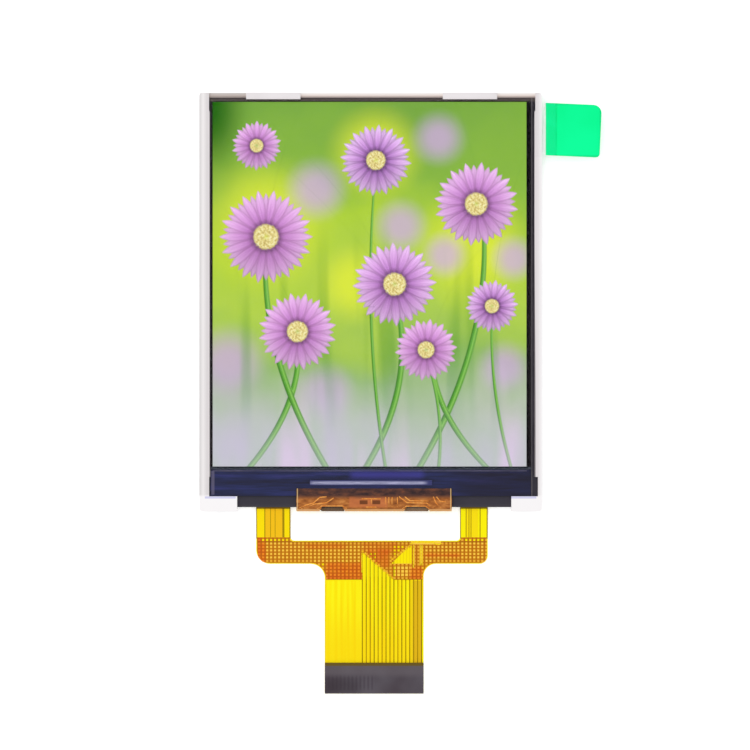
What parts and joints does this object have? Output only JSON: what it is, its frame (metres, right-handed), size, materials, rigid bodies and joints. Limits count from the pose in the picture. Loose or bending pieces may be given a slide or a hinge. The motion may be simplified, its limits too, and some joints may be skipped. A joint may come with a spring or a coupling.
{
  "type": "tft display module",
  "caption": "Small colour display module: lit panel in a white moulded frame, with a folded flexible circuit, its contact tail, and a protective film with a green pull tab.",
  "frame": {"origin": "middle of the moulded frame's outline, on the plane that the module lies on", "axes": "+X to the right of the picture, +Y to its top, +Z out of the screen; the contact tail runs down -Y"},
  "size_m": [0.0507, 0.0759, 0.0022],
  "materials": {
    "white_moulding": "moulded, satin",
    "clear_film": "clear, glossy",
    "green_tape": "satin tape",
    "polarizer": "hard coated",
    "panel_glass": "polished",
    "dark_seal": "black",
    "black_tape": "satin tape",
    "bare_silicon": "polished",
    "bond_resin": "clear resin",
    "prism_film": "fine prisms",
    "diffuser_film": "frosted",
    "clear_guide": "clear moulding",
    "mirror_film": "silvered film",
    "lamp_case": "white",
    "amber_flex": "polyimide film",
    "lamp_strip": "white cover film",
    "copper": "copper under film",
    "gold_contact": "gold plated",
    "dark_stiffener": "dark film",
    "clear_glue": "double-sided tape",
    "capacitor_body": "fired",
    "solder": "bright solder",
    "picture_ground": "lit colour",
    "picture_glow": "lit colour",
    "picture_haze": "lit colour",
    "picture_blades": "lit colour",
    "picture_petals": "lit colour",
    "picture_hearts": "lit colour"
  },
  "bodies": {
    "root": {"mould_frame": "white_moulding", "protective_film": "clear_film", "pull_tab": "green_tape", "front_polarizer": "polarizer", "rear_polarizer": "polarizer", "filter_glass": "panel_glass", "array_glass": "panel_glass", "cell_seal": "dark_seal", "rim_tape": "black_tape", "driver_chip": "bare_silicon", "bond_film": "bond_resin", "upper_prism_film": "prism_film", "lower_prism_film": "prism_film", "diffuser_film": "diffuser_film", "light_guide": "clear_guide", "reflector_sheet": "mirror_film", "led_flex": "lamp_strip", "main_flex": "amber_flex", "flex_traces": "copper", "flex_pour": "copper", "stiffener": "dark_stiffener", "contact_pads": "gold_contact", "flex_adhesive": "clear_glue", "capacitors": "capacitor_body", "solder_joints": "solder", "led_1": "lamp_case", "led_2": "lamp_case", "led_3": "lamp_case", "led_4": "lamp_case", "led_5": "lamp_case", "led_6": "lamp_case", "picture_ground": "picture_ground", "picture_glow": "picture_glow", "picture_haze": "picture_haze", "picture_blades": "picture_blades", "picture_petals": "picture_petals", "picture_hearts": "picture_hearts"}
  },
  "joints": []
}
